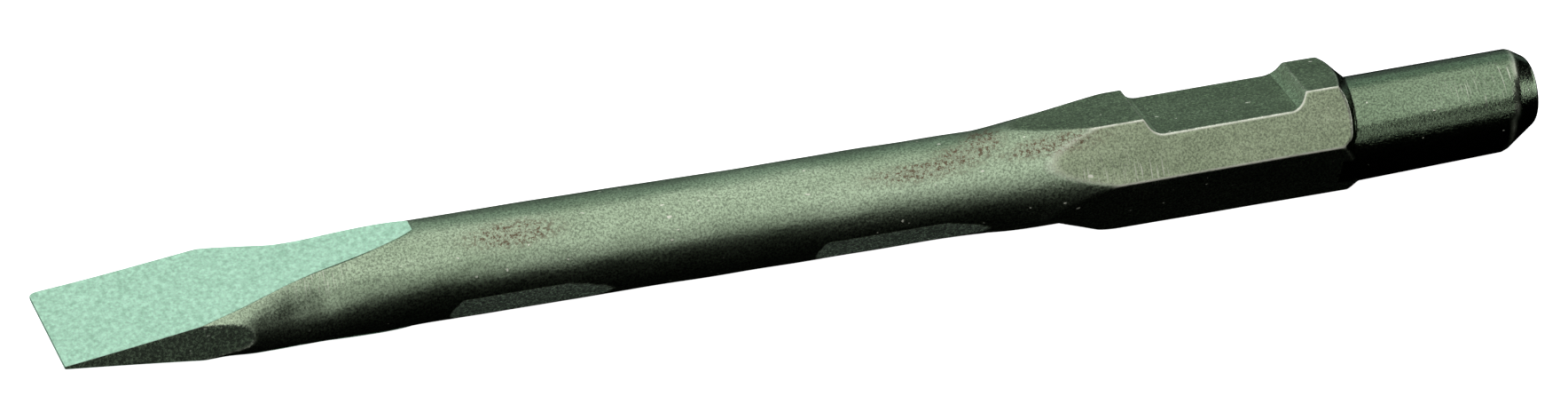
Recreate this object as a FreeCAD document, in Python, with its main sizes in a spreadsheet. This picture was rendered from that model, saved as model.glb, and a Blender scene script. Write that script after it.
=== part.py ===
"""Flat chisel for a hex-shank demolition hammer: one steel forging with two lacquered blade faces.

Millimetres. The X axis is the centre line of the hex and the shank. The striking face is at X = 0 and
faces +X, and the cutting edge is at the -X end. +Z is the outward normal of the notched hex flat.
Sizes named ..._at are distances from the striking face, and ..._from_edge from the cutting edge.
"""
import FreeCAD
import Part
import Sketcher
import math
import os

DIMENSIONS = {
    "total_length": 384.0,
    # striking tail
    "tail_diameter": 26.2,
    "tail_side": 1.4,
    "tail_drop": 0.8,
    "tail_rim_at": 6.6,
    "tail_root_at": 60.0,
    "striking_face_diameter": 15.6,
    "striking_face_rounding": 1.0,
    # hex drive
    "hex_across_flats": 30.0,
    "hex_corner_diameter": 34.4,
    "hex_end_at": 48.0,
    "hex_rear_chamfer_angle": 43.0,
    "hex_front_corner_at": 112.0,
    "cone_front_at": 146.0,
    # retainer notch in the top flat
    "notch_depth": 4.1,
    "notch_rear_at": 62.5,
    "notch_rear_angle": 60.0,
    "notch_rear_fillet": 4.5,
    "notch_front_at": 105.6,
    "notch_front_angle": 60.0,
    # round shank, slightly thicker towards the blade
    "shank_rear_diameter": 25.5,
    "shank_front_diameter": 25.9,
    # undercut below the front corner of the hex
    "undercut_angle": 240.0,
    "undercut_rear_at": 115.9,
    "undercut_front_at": 125.8,
    # two shallow flats low on the side of the shank, each with one steep and one long run-out
    "flat_angle": 222.0,
    "flat_depth": 1.1,
    "flat_steep_run": 3.0,
    "flat_long_run": 12.0,
    "rear_flat_rear_at": 146.7,
    "rear_flat_front_at": 191.7,
    "front_flat_rear_at": 243.0,
    "front_flat_front_at": 285.0,
    # blade, with two slightly hollow faces: their half angle is the one at the cutting edge
    "edge_half_angle": 6.4,
    "face_hollow_radius": 2150.0,
    "edge_thickness": 0.7,
    "edge_width": 43.9,
    "edge_corner_radius": 1.2,
    "facet_width": 40.2,
    "facet_from_edge": 51.0,
    "coat_thickness": 0.2,
    # the wide oval that the blade is ground from
    "oval_from_edge": 29.0,
    "oval_width": 51.0,
    "oval_height": 16.4,
}

# Ovals that spread the round shank into the blade stock: distance from the edge, width and height.
FLARE_OVALS = (
    (69.0, 25.9, 25.9),
    (61.0, 28.9, 25.0),
    (53.0, 35.2, 23.3),
    (45.0, 42.3, 20.5),
    (37.0, 47.0, 18.3),
)

CLEAR = 40.0  # how far a cutting outline reaches outside the steel

doc = FreeCAD.newDocument("hex_chisel")


def write_sheet():
    cells = dict(DIMENSIONS)
    for number, (station, width, height) in enumerate(FLARE_OVALS, 1):
        cells[f"flare_{number}_from_edge"] = station
        cells[f"flare_{number}_width"] = width
        cells[f"flare_{number}_height"] = height
    sheet = doc.addObject("Spreadsheet::Sheet", "Sizes")
    for row, (alias, value) in enumerate(cells.items(), 1):
        sheet.set(f"A{row}", alias)
        sheet.set(f"B{row}", str(value))
        sheet.setAlias(f"B{row}", alias)
    doc.recompute()
    return sheet


sheet = write_sheet()


def size(alias):
    return float(sheet.get(alias))


def cells(text):
    """An expression in which every {alias} is a cell of the sheet."""
    return text.replace("{", "Sizes.").replace("}", "")


def new_sketch(body, name, role, shift="0", side="0", turn=None):
    """A sketch on an origin plane, shifted along its normal and its own Y, or turned about X."""
    sketch = body.newObject("Sketcher::SketchObject", name)
    plane = next(item for item in body.Origin.OriginFeatures if item.Role == role)
    sketch.AttachmentSupport = [(plane, "")]
    sketch.MapMode = "FlatFace"
    if turn is None:
        sketch.setExpression("AttachmentOffset.Base.y", cells(side))
        sketch.setExpression("AttachmentOffset.Base.z", cells(shift))
        return sketch
    about_x = FreeCAD.Rotation(FreeCAD.Vector(1, 0, 0), 90)
    sketch.AttachmentOffset = FreeCAD.Placement(FreeCAD.Vector(), about_x)
    sketch.setExpression("AttachmentOffset.Rotation.Angle", cells(turn))
    return sketch


def bind(sketch, constraint, text):
    row = sketch.addConstraint(constraint)
    sketch.setExpression(f"Constraints[{row}]", cells(text))


def add_polygon(sketch, corners):
    """A closed polygon whose corners are pairs of expressions, measured from the sketch's origin."""
    count = len(corners)
    first = sketch.GeometryCount
    turns = [2 * math.pi * i / count for i in range(count)]
    loose = [FreeCAD.Vector(math.cos(turn), math.sin(turn), 0) * 10 for turn in turns]
    for i in range(count):
        sketch.addGeometry(Part.LineSegment(loose[i], loose[(i + 1) % count]), False)
    for i in range(count):
        before = first + (i - 1) % count
        sketch.addConstraint(Sketcher.Constraint("Coincident", before, 2, first + i, 1))
    for i, (across, up) in enumerate(corners):
        bind(sketch, Sketcher.Constraint("DistanceX", -1, 1, first + i, 1, loose[i].x), across)
        bind(sketch, Sketcher.Constraint("DistanceY", -1, 1, first + i, 1, loose[i].y), up)


def add_circle(sketch, diameter):
    circle = sketch.addGeometry(Part.Circle(FreeCAD.Vector(), FreeCAD.Vector(0, 0, 1), 10), False)
    sketch.addConstraint(Sketcher.Constraint("Coincident", circle, 3, -1, 1))
    bind(sketch, Sketcher.Constraint("Diameter", circle, 20), diameter)


def add_oval(sketch, width, height):
    """An ellipse about the sketch's origin, wide along its horizontal axis."""
    start = Part.Ellipse(FreeCAD.Vector(20, 0, 0), FreeCAD.Vector(0, 10, 0), FreeCAD.Vector())
    oval = sketch.addGeometry(start, False)
    sketch.exposeInternalGeometry(oval)
    major, minor = oval + 1, oval + 2
    sketch.addConstraint(Sketcher.Constraint("Coincident", oval, 3, -1, 1))
    sketch.addConstraint(Sketcher.Constraint("Horizontal", major))
    bind(sketch, Sketcher.Constraint("Distance", major, 40), width)
    bind(sketch, Sketcher.Constraint("Distance", minor, 20), height)


def volume_of(body):
    doc.recompute()
    return body.Shape.Volume if not body.Shape.isNull() else 0.0


def turn(body, kind, name, sketch):
    """A full turn of a sketch about its horizontal axis: a Revolution adds steel, a Groove removes it."""
    feature = body.newObject(f"PartDesign::{kind}", name)
    feature.Profile = sketch
    feature.ReferenceAxis = (sketch, ["H_Axis"])
    feature.Angle = 360
    doc.recompute()


def add_pocket(body, name, sketch, length, both_sides=True):
    """A cut to a length, or to that length shared by both sides of the sketch. It must remove steel."""
    before = volume_of(body)
    feature = body.newObject("PartDesign::Pocket", name)
    feature.Profile = sketch
    feature.Type = "Length"
    feature.Midplane = both_sides
    feature.setExpression("Length", cells(length))
    if volume_of(body) >= before:
        raise RuntimeError(f"{name} removes nothing")


def add_fillet(body, name, radius, wanted):
    """Round the edges for which wanted(edge) is true."""
    doc.recompute()
    base = body.Tip
    names = [f"Edge{i}" for i, edge in enumerate(base.Shape.Edges, 1) if wanted(edge)]
    if not names:
        raise RuntimeError(f"{name} finds no edge")
    feature = body.newObject("PartDesign::Fillet", name)
    feature.Base = (base, names)
    feature.setExpression("Radius", cells(radius))
    doc.recompute()


def near(edge, x=None, y=None, z=None, within=0.3):
    """Whether an edge's middle is at the given coordinates."""
    middle = edge.CenterOfMass
    pairs = zip((x, y, z), middle, strict=True)
    return all(wanted is None or abs(wanted - found) < within for wanted, found in pairs)


def add_hex_and_shank(body):
    """The round outline of hex corners, front cone and shank, turned about X."""
    sketch = new_sketch(body, "hex_and_shank_outline", "XY_Plane")
    add_polygon(sketch, [
        ("-{hex_end_at}", "0"),
        ("-{hex_end_at}", "{hex_corner_diameter} / 2"),
        ("-{hex_front_corner_at}", "{hex_corner_diameter} / 2"),
        ("-{cone_front_at}", "{shank_rear_diameter} / 2"),
        ("{flare_1_from_edge} - {total_length}", "{shank_front_diameter} / 2"),
        ("{flare_1_from_edge} - {total_length}", "0"),
    ])
    turn(body, "Revolution", "hex_and_shank", sketch)


def add_tail(body):
    """The round striking tail, a little off the hex's centre line, with a coned end."""
    sketch = new_sketch(body, "tail_outline", "XY_Plane", shift="-{tail_drop}", side="-{tail_side}")
    add_polygon(sketch, [
        ("0", "0"),
        ("0", "{striking_face_diameter} / 2"),
        ("-{tail_rim_at}", "{tail_diameter} / 2"),
        ("-{tail_root_at}", "{tail_diameter} / 2"),
        ("-{tail_root_at}", "0"),
    ])
    turn(body, "Revolution", "tail", sketch)
    face_radius = size("striking_face_diameter") / 2
    add_fillet(body, "striking_face_edge", "{striking_face_rounding}",
               lambda edge: near(edge, x=0) and edge.Length > face_radius)


def add_hex_flats(body):
    """Six flats, cut from the rear end forward until they run out on the cone."""
    sketch = new_sketch(body, "hex_outline", "YZ_Plane", shift="-{hex_end_at}")
    add_circle(sketch, "2 * {hex_corner_diameter}")
    corner = "{hex_across_flats} / sqrt(3)"
    add_polygon(sketch, [
        (f"{corner} * cos({60 * i})", f"{corner} * sin({60 * i})") for i in range(6)
    ])
    add_pocket(body, "hex_flats", sketch, "{cone_front_at} - {hex_end_at}", both_sides=False)


def add_rear_chamfer(body):
    """The cone behind the hex, turned on the tail's centre line."""
    before = volume_of(body)
    sketch = new_sketch(body, "rear_chamfer_outline", "XY_Plane", shift="-{tail_drop}", side="-{tail_side}")
    tail, outside = "{tail_diameter} / 2", "{hex_across_flats}"
    run = f"({outside} - {tail}) / tan({{hex_rear_chamfer_angle}})"
    add_polygon(sketch, [
        ("-{hex_end_at}", tail),
        ("-{hex_end_at}", outside),
        (f"-{{hex_end_at}} - {run}", outside),
    ])
    turn(body, "Groove", "rear_chamfer", sketch)
    if volume_of(body) >= before:
        raise RuntimeError("the rear chamfer removes nothing")


def add_notch(body):
    """The retainer notch across the top flat: a sloped front wall and a filleted rear wall."""
    sketch = new_sketch(body, "notch_outline", "XZ_Plane")
    flat = "{hex_across_flats} / 2"
    floor = f"{flat} - {{notch_depth}}"
    add_polygon(sketch, [
        ("-{notch_front_at}", flat),
        ("-{notch_front_at} + {notch_depth} / tan({notch_front_angle})", floor),
        ("-{notch_rear_at} - {notch_depth} / tan({notch_rear_angle})", floor),
        ("-{notch_rear_at}", flat),
        ("-{notch_rear_at}", f"{flat} + {CLEAR}"),
        ("-{notch_front_at}", f"{flat} + {CLEAR}"),
    ])
    add_pocket(body, "notch", sketch, "2 * {hex_across_flats}")
    floor_height = size("hex_across_flats") / 2 - size("notch_depth")
    foot = -size("notch_rear_at") - size("notch_depth") / math.tan(math.radians(size("notch_rear_angle")))
    add_fillet(body, "notch_rear_round", "{notch_rear_fillet}",
               lambda edge: near(edge, x=foot, y=0, z=floor_height))


def add_undercut(body):
    """Below the front corner of the hex the cone is cut back to the shank, with a short steep end."""
    sketch = new_sketch(body, "undercut_outline", "XZ_Plane", turn="{undercut_angle} - 90")
    shank = "{shank_rear_diameter} / 2"
    corner = "{hex_corner_diameter} / 2"
    add_polygon(sketch, [
        ("-{cone_front_at}", shank),
        ("-{undercut_front_at}", shank),
        ("-{undercut_rear_at}", corner),
        ("-{undercut_rear_at}", f"{corner} + {CLEAR}"),
        ("-{cone_front_at}", f"{corner} + {CLEAR}"),
    ])
    add_pocket(body, "undercut", sketch, "2 * {hex_across_flats}")


def add_shank_flat(body, name):
    sketch = new_sketch(body, f"{name}_outline", "XZ_Plane", turn="{flat_angle} - 90")
    skin = "{shank_front_diameter} / 2"
    front, rear = f"-{{{name}_front_at}}", f"-{{{name}_rear_at}}"
    add_polygon(sketch, [
        (front, skin),
        (f"{front} + {{flat_steep_run}}", f"{skin} - {{flat_depth}}"),
        (f"{rear} - {{flat_long_run}}", f"{skin} - {{flat_depth}}"),
        (rear, skin),
        (rear, f"{skin} + {CLEAR}"),
        (front, f"{skin} + {CLEAR}"),
    ])
    add_pocket(body, name, sketch, "2 * {hex_across_flats}")


def add_flare(body):
    """The smooth spread from the round shank into the wide oval that the blade is ground from."""
    ovals = []
    for number in range(1, len(FLARE_OVALS) + 1):
        station = f"{{flare_{number}_from_edge}} - {{total_length}}"
        sketch = new_sketch(body, f"flare_oval_{number}", "YZ_Plane", shift=station)
        add_oval(sketch, f"{{flare_{number}_width}}", f"{{flare_{number}_height}}")
        ovals.append(sketch)
    last = new_sketch(body, "flare_last_oval", "YZ_Plane", shift="{oval_from_edge} - {total_length}")
    add_oval(last, "{oval_width}", "{oval_height}")
    ovals.append(last)
    doc.recompute()
    loft = body.newObject("PartDesign::AdditiveLoft", "flare")
    loft.Profile = ovals[0]
    loft.Sections = ovals[1:]
    loft.Ruled = False
    doc.recompute()


def add_blade_stock(body):
    """The straight oval bar from the flare to the cutting edge."""
    sketch = new_sketch(body, "blade_oval", "YZ_Plane", shift="{oval_from_edge} - {total_length}")
    add_oval(sketch, "{oval_width}", "{oval_height}")
    pad = body.newObject("PartDesign::Pad", "blade_stock")
    pad.Profile = sketch
    pad.Reversed = True
    pad.setExpression("Length", cells("{oval_from_edge}"))
    doc.recompute()


def add_side_facets(body):
    """The two flat sides of the blade, closer together away from the edge."""
    sketch = new_sketch(body, "side_facet_outline", "XY_Plane")
    edge, root = "-{total_length}", "{facet_from_edge} - {total_length}"
    for side in ("", "-"):
        add_polygon(sketch, [
            (edge, f"{side}{{edge_width}} / 2"),
            (root, f"{side}{{facet_width}} / 2"),
            (root, f"{side}{CLEAR}"),
            (edge, f"{side}{CLEAR}"),
        ])
    add_pocket(body, "side_facets", sketch, "2 * {shank_front_diameter}")
    tip, half_width = -size("total_length"), size("edge_width") / 2
    add_fillet(body, "edge_corners", "{edge_corner_radius}",
               lambda edge: near(edge, x=tip, y=half_width) or near(edge, x=tip, y=-half_width))


def build_blank():
    """The whole forging before the two blade faces are ground."""
    body = doc.addObject("PartDesign::Body", "forged_blank")
    add_hex_and_shank(body)
    add_hex_flats(body)
    add_rear_chamfer(body)
    add_tail(body)
    add_notch(body)
    add_undercut(body)
    add_shank_flat(body, "rear_flat")
    add_shank_flat(body, "front_flat")
    add_flare(body)
    add_blade_stock(body)
    add_side_facets(body)
    return body


def grinding_wheel(name, radius):
    """A wide drum across the blade, standing on the upper face's hollow curve."""
    wheel = doc.addObject("Part::Cylinder", name)
    across = FreeCAD.Rotation(FreeCAD.Vector(1, 0, 0), -90)
    wheel.Placement = FreeCAD.Placement(FreeCAD.Vector(0, -CLEAR, 0), across)
    centre_x = "-{total_length} - {face_hollow_radius} * sin({edge_half_angle})"
    centre_z = "{edge_thickness} / 2 + {face_hollow_radius} * cos({edge_half_angle})"
    wheel.setExpression("Placement.Base.x", cells(centre_x))
    wheel.setExpression("Placement.Base.z", cells(centre_z))
    wheel.setExpression("Radius", cells(radius))
    wheel.Height = 2 * CLEAR
    return wheel


def below(name, source):
    mirror = doc.addObject("Part::Mirroring", name)
    mirror.Source = source
    mirror.Normal = FreeCAD.Vector(0, 0, 1)
    return mirror


def boolean(kind, name, base, tool):
    result = doc.addObject(f"Part::{kind}", name)
    result.Label = name
    result.Base = base
    result.Tool = tool
    return result


def build_chisel():
    """Grind the two hollow blade faces, and lay a lacquer film on each of them."""
    blank = build_blank()
    upper_wheel = grinding_wheel("upper_wheel", "{face_hollow_radius}")
    upper_bare = grinding_wheel("upper_bare", "{face_hollow_radius} - {coat_thickness}")
    lower_wheel = below("lower_wheel", upper_wheel)
    lower_bare = below("lower_bare", upper_bare)
    half_ground = boolean("Cut", "half_ground_forging", blank, upper_wheel)
    upper_waste = boolean("Common", "upper_waste", blank, upper_wheel)
    lower_waste = boolean("Common", "lower_waste", blank, lower_wheel)
    return [
        boolean("Cut", "chisel_forging", half_ground, lower_wheel),
        boolean("Cut", "blade_coat_top", upper_waste, upper_bare),
        boolean("Cut", "blade_coat_bottom", lower_waste, lower_bare),
    ]


def check_document(parts):
    for item in doc.Objects:
        if any(word in item.State for word in ("Invalid", "Error")):
            raise RuntimeError(f"{item.Name} failed: {item.State}")
    for part in parts:
        if part.Shape.isNull() or not part.Shape.isValid() or len(part.Shape.Solids) != 1:
            raise RuntimeError(f"{part.Label} has no valid single solid")


def write_parts(parts):
    os.makedirs("parts", exist_ok=True)
    for part in parts:
        part.Shape.exportStep(os.path.join("parts", f"{part.Label}.step"))
        box = part.Shape.BoundBox
        print(f"{part.Label}: {part.Shape.Volume:.1f} mm3,"
              f" x {box.XMin:.2f} to {box.XMax:.2f}, y {box.YMin:.2f} to {box.YMax:.2f},"
              f" z {box.ZMin:.2f} to {box.ZMax:.2f}")


parts = build_chisel()
doc.recompute()
check_document(parts)
write_parts(parts)
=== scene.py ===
"""Looks for the forged flat chisel: a worn forging, two lacquered blade faces, floor, lights and camera.

Lengths are in millimetres and become metres where a mesh is made; lights and camera are in metres from the
start. The axes are the frame's: X is the centre line, the striking face is at X = 0, the cutting edge at the
far -X end, and +Z leaves the notched flat. "at" is a distance from the striking face and "from_edge" one from
the cutting edge. Angles about X are in degrees from +Y towards +Z. The near side is -Y, the far side +Y.
"""

import math

import bmesh
import bpy
import numpy as np
from mathutils import Matrix, Vector


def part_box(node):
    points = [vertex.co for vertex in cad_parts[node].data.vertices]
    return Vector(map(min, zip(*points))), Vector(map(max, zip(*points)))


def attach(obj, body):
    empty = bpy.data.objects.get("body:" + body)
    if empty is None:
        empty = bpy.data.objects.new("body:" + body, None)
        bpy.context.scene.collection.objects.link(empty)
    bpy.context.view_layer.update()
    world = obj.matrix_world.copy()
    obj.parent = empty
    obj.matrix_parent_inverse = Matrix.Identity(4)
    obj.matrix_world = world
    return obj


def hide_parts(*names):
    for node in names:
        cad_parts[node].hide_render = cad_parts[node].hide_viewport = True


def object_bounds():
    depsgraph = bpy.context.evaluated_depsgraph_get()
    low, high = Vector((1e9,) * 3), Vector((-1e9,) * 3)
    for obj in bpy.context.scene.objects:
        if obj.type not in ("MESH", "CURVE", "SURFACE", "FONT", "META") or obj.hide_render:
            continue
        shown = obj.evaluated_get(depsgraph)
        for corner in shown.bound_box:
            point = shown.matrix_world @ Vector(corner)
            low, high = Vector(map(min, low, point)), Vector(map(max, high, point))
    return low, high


MM = 0.001

# ---------------------------------------------------------------- dimensions of the forging
# the tail's radius, and Y and Z of its centre, behind the rim and at the hex
TAIL_STATIONS = (5.0, 45.0)
TAIL_RADIUS = (12.85, 13.25)
TAIL_CENTRE = ((-1.16, -0.35), (-1.56, -1.21))
TAIL_ROOT_AT = 55.0              # the tail is joined this far into the hex
END_RADIUS = 8.3                 # the end cone's at the striking face
END_SLOPE = 0.64
END_SHIFT = (0.63, 1.36)         # Y and Z of the end cone from the tail's centre
FACE_ROUNDING = 1.2

HEX_RADIUS = 15.0                # centre to flat
NEAR_FLAT = 150
# centre to flat by angle: the near flat and one far flat are proud, a lower flat and the notched one are low
HEX_FLATS = {30: 15.4, 90: 14.79, NEAR_FLAT: 16.2, 210: 14.8, 270: 14.97, 330: 15.0}
# the hex and its cone stand off the shank's centre line in one direction, by this much at each station
HEX_LEAN_ANGLE = 245.0
HEX_LEAN = ((50, 112, 128, 160), (-0.2, 0.38, 0.5, 0.0))
HEX_END_AT = 48.0                # the tail's centre line shifts no further than here
# chamfer behind the hex, by angle about X: where its radius is HEX_END_RADIUS, and its steepness
HEX_END_RADIUS = 16.2
HEX_END_ANGLES = (-115, 65, 90, 140, 168, 175, 185, 245)
HEX_END_PLACES = (50.3, 52.5, 53.6, 52.3, 52.3, 53.4, 53.4, 50.3)
HEX_END_STEEPNESS = (0.55, 1.1, 0.9, 1.33, 1.33, 0.9, 0.8, 0.55)
HEX_SHAPES_END_AT = 200.0        # flats and notch are left out beyond this
HEX_FRONT_AT = 107.0
CONE_RADIUS = 17.9               # where the cone starts, just outside the hex's corners
CONE_FRONT_AT = 146.0
CONE_ROUNDING = 1.12             # fills the corner between cone and shank
CONE_ROUNDING_REACH = 5.0

NOTCH_DEPTH = 4.05
NOTCH_AT = (62.5, 105.6)
NOTCH_WALL_ANGLE = 60.0
NOTCH_FILLET = 4.5
NOTCH_FLOOR_SLOPE = 0.5          # what is steeper than this has the walls' skin

SHANK_REAR_RADIUS = 12.75
SHANK_FRONT_RADIUS = 12.95
SHANK_FRONT_FROM_EDGE = 68.0
UNDERCUT_ANGLE = 240.0
UNDERCUT_RISE = 0.455
UNDERCUT_FRONT_AT = 125.8
UNDERCUT_EXIT = 0.2              # its rise per mm in front of the cone
DIE_FLAT_ANGLE = 222.0
DIE_FLAT_DEPTH = 1.1
DIE_FLATS_AT = ((146.7, 191.7), (243.0, 285.0))
DIE_FLAT_RUNS = (12.0, 3.0)      # over which a flat fades out behind and in front

EDGE_HALF_ANGLE = math.radians(6.4)
FACE_HOLLOW = 2150.0             # radius of the hollow-ground faces
EDGE_THICKNESS = 0.7
EDGE_WIDTH = 43.83
EDGE_CORNER = (0.4, 2.1)         # near and far corner
EDGE_SKEW = 0.9 / 44             # how much further the far corner of the edge reaches, per mm across
EDGE_SKEW_REACH = 45.0
FACET_WIDTH = 40.2
FACET_FROM_EDGE = 51.0
FACET_TAPER = (EDGE_WIDTH - FACET_WIDTH) / 2 / FACET_FROM_EDGE
FACETS_END_FROM_EDGE = 60.0
FAR_FACET_GAIN = 0.8             # how much further out the far facet is at the blade's root
FAR_FACET_GAIN_FROM_EDGE = (10.0, 45.0)
# from the edge, width and height of the ovals between the blade and the round shank
OVALS = (
    (-1.0, 51.0, 16.4), (29.0, 51.0, 16.4), (37.0, 47.0, 18.3), (45.0, 42.3, 20.5),
    (53.0, 35.2, 23.3), (61.0, 28.9, 25.0), (69.0, 25.9, 25.9),
)
# swells of the round shapes: stations and heights along X, angles about X and shares of the height
CONE_SWELL = (((132, 165), (1.45, 0.0)), ((60, 105, 150, 180, 235), (0, 1, 1, 0.65, 0)))
# these two are along X from the cutting edge
NEAR_ROOT_SWELL = (((40, 50, 60, 80, 96), (0.0, 1.2, 1.9, 0.6, 0.0)), ((158, 206, 230, 262), (0, 1, 1, 0)))
FAR_ROOT_SWELL = (((14, 40, 50, 62), (0.0, 1.8, 1.2, 0.0)), ((0, 12, 30, 60), (0, 1, 1, 0)))

# unevenness of the forged skin: height everywhere, more on the cone and shank, and the noise it is made of
LUMP_HEIGHT, MORE_LUMP_HEIGHT = 0.02, 0.07
LUMPS_START_AT = (108.0, 135.0)
LUMPS_END_FROM_EDGE = (30.0, 70.0)
LUMP_STRETCH = (0.45, 1, 1)
LUMP_NOISE = {"count": 40, "longest": 34, "shortest": 7, "seed": 11}
LUMP_FREE_ENDS = 3.0             # the lumps fade out over this length at both ends

# ---------------------------------------------------------------- dimensions of the lacquer
COAT = 0.2
COAT_SHORTFALL = 1.2             # the film's rear end stops this far short of the CAD film's
COAT_SINK = 0.03                 # how deep the film's underside is in the steel
COAT_LAP = 0.02                  # how near the film comes to the centre plane at the cutting edge
COAT_EDGE_ROUNDING = 0.1
COAT_STEP = 0.6
COAT_FIRST_ROWS = (0.0, 0.03, 0.08, 0.16, 0.3)
# the rows close up on the rear end over a length, each COAT_LAST_RATIO times as far from it as the one before
COAT_LAST_LENGTH, COAT_LAST_GAP, COAT_LAST_RATIO = 1.0, 0.9, 0.6
COAT_LAST_ROWS = 7
COAT_COLUMNS = 44
# its reach across is measured this deep under the face, and no nearer to the edge than this
COAT_PROBE_DEPTH, COAT_PROBE_FROM_EDGE = 0.05, 0.02

# ---------------------------------------------------------------- wear and skins
# radius to which the edge left by a cut is worn round, and how bright its wear and painted glint are: high
# where the edge catches the light, low on shaded edges
EDGES = {
    "hex": (0.3, 1.0), "notch": (0.35, 1.0), "hex_end": (0.25, 1.0), "round": (0.25, 0.25),
    "undercut": (0.2, 0.0), "end_cone": (0.4, 1.0), "die_flat": (0.2, 0.1), "facet": (0.25, 0.15),
    "face": (0.15, 0.2),
}
# the bright band along worn edges is partly real wear and partly a painted glint
WEAR_AND_GLINT_REACH = 1.3                 # radii from the middle of an edge to where the wear ends
# the near flat's outline, which catches the light, has all of its wear and painted glint up to one distance
# off that flat, fading to another; elsewhere this share of it is left, and more round the end of the tail
NEAR_FLAT_WEAR_AND_GLINT = (0.3, 0.8)
WEAR_AND_GLINT_SHARE, TAIL_END_WEAR_AND_GLINT_SHARE = 0.2, 0.45
TAIL_END_AT = 12.0
# the skins of the steel: tint of the base colour, dullness (0 metallic, 1 matt), roughness
SKINS = {
    "forged": ((1.0, 1.0, 1.0), 0.0, 0.33),
    "near_flat": ((0.99, 0.92, 0.88), 0.0, 0.40),
    # the top flat and the notch's floor have a much darker tint: painted shade for faces that look up, away
    # from the light; the notch's walls keep a tint near the forged one
    "top_flat_painted_shade": ((0.37, 0.40, 0.355), 0.25, 0.42),
    "notch_wall": ((0.95, 1.0, 0.95), 0.1, 0.42),
    "tail": ((0.60, 0.64, 0.60), 0.0, 0.16),
    # the ground facets' very dark matt tint is painted shade for flanks that turn out of the light; their
    # speckle is their own grain
    "ground": ((0.105, 0.12, 0.11), 0.9, 0.60),
    "die_flat": ((0.47, 0.49, 0.54), 0.9, 0.60),
}
SKIN_NAMES = list(SKINS)
# stains on the shank and the cone, and places scored by handling: distance from the striking face and
# angle about X of the middle, and how far each spreads both ways (mm, degrees)
STAINS = (
    (268, 129, 11, 15), (146, 108, 5, 20), (152, 122, 7, 12), (163, 133, 13, 11), (130, 132, 12, 9),
)
SCORES = (
    (20, 145, 6, 14), (9, 130, 4, 24), (107, 168, 6, 13), (120, 165, 6, 9),
    (318, 145, 8, 14),
)

# ---------------------------------------------------------------- how fine the meshes are
RING_POINTS = 168
# where each spacing of the rings starts, and the spacing: close together where the shape changes
RING_STEPS = (
    (0.0, 0.2), (1.4, 0.6), (5.0, 0.2), (6.2, 1.3), (47.0, 0.2), (48.4, 0.35), (55.0, 0.8), (61.0, 0.3),
    (70.0, 0.9), (97.0, 0.3), (106.0, 0.45), (128.0, 0.7), (160.0, 1.1), (186.0, 0.4), (193.0, 1.2),
    (241.0, 1.0), (280.0, 0.4), (287.0, 0.9), (310.0, 0.55), (332.0, 0.4), (345.0, 0.75), (381.5, 0.3),
)
RING_STEPS_END_AT = 383.6
LAST_RINGS_FROM_EDGE = (0.4, 0.2, 0.1, 0.05)
FACE_RINGS = (0.92, 0.8, 0.6, 0.35, 0.12)        # shares of the rim's size, on the striking face
# the points of a ring crowd at the section's corners on the hex and on the blade
CROWDING = 0.8
CROWDED_HEX = ((46.0, 52.0), (116.0, 150.0))
CROWDED_BLADE = (300.0, 330.0)
CORNERS_CHANGE_AT = (150.0, 250.0)               # from the hex's corners to the blade's
BLADE_CORNERS_FROM_EDGE = 48.0
STEEPEST_BLADE_CORNER = 60.0
JUST_INSIDE = 0.999
SEARCH_RADIUS = 32.0
HALVINGS = 34
FAR_OFF = 50.0                                   # a surface this far off cuts nothing
SLIVER = 0.01
HAIR = 0.001                                     # keeps a measure off zero

# ---------------------------------------------------------------- colours, and metres of the stage
WHITE = (1.0, 1.0, 1.0)
STEEL_COLOURS = ((0.305, 0.40, 0.266), (0.455, 0.57, 0.40))
# pale colour of worn edges, which also serves as their painted glint
WORN_AND_GLINT_COLOUR = (0.98, 1.0, 0.84)
STAIN_COLOUR = (0.44, 0.43, 0.33)
RUST_COLOUR = (0.15, 0.10, 0.05)
LACQUER_COLOURS = ((0.39, 0.69, 0.505), (0.62, 1.0, 0.77))
FLOOR_COLOURS = ((0.7, 0.7, 0.7), (0.9, 0.9, 0.9))
REAR_LIGHT = (0.80, 1.0, 0.93)

FLOOR_HALF = 30.0
# soft lights along the object: angle about X, width, length, radiance, shift along X, colour
SOFTBOX_DISTANCE = 1.4
SOFTBOXES = {
    "softbox_back": (12, 0.6, 3.0, 0.18, 0.0, REAR_LIGHT),
    "softbox_rear_top": (42, 0.8, 3.0, 0.50, 0.0, REAR_LIGHT),
    "softbox_top": (82, 1.2, 3.0, 1.15, 0.0, WHITE),
    "softbox_front_top": (128, 1.15, 2.4, 1.15, -0.2, WHITE),
    "softbox_front": (166, 0.87, 1.5, 0.85, -0.175, WHITE),
}
# soft lights beyond the ends: place, width, height, radiance
END_SOFTBOXES = {
    "softbox_front_right": ((0.80, -1.38, 0.05), 0.45, 0.25, 0.9),
    "softbox_right_end": ((1.35, 0.32, 0.02), 1.0, 0.45, 1.9),
    "softbox_left_end": ((-1.90, -0.20, 0.15), 0.9, 0.9, 2.2),
    "softbox_back_left": ((-1.05, 1.45, 0.10), 0.6, 0.6, 0.5),
}
CAMERA_PLACE = (-0.63998, -1.74512, 0.84176)
CAMERA_AZIMUTH, CAMERA_ELEVATION, CAMERA_ROLL = -14.255, 25.01, -3.0
CAMERA_SENSOR, CAMERA_LENS = 36.0, 183.26        # millimetres
CAMERA_CLIP = (0.05, 100)

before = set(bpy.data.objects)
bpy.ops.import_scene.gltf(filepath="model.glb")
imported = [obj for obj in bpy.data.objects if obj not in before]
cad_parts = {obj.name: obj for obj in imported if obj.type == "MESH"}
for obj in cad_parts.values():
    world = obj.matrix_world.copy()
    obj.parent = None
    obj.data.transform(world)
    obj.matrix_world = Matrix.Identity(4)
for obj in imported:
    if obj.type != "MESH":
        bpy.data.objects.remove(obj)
CAD_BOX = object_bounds()
LENGTH = (CAD_BOX[1].x - CAD_BOX[0].x) / MM


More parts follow.
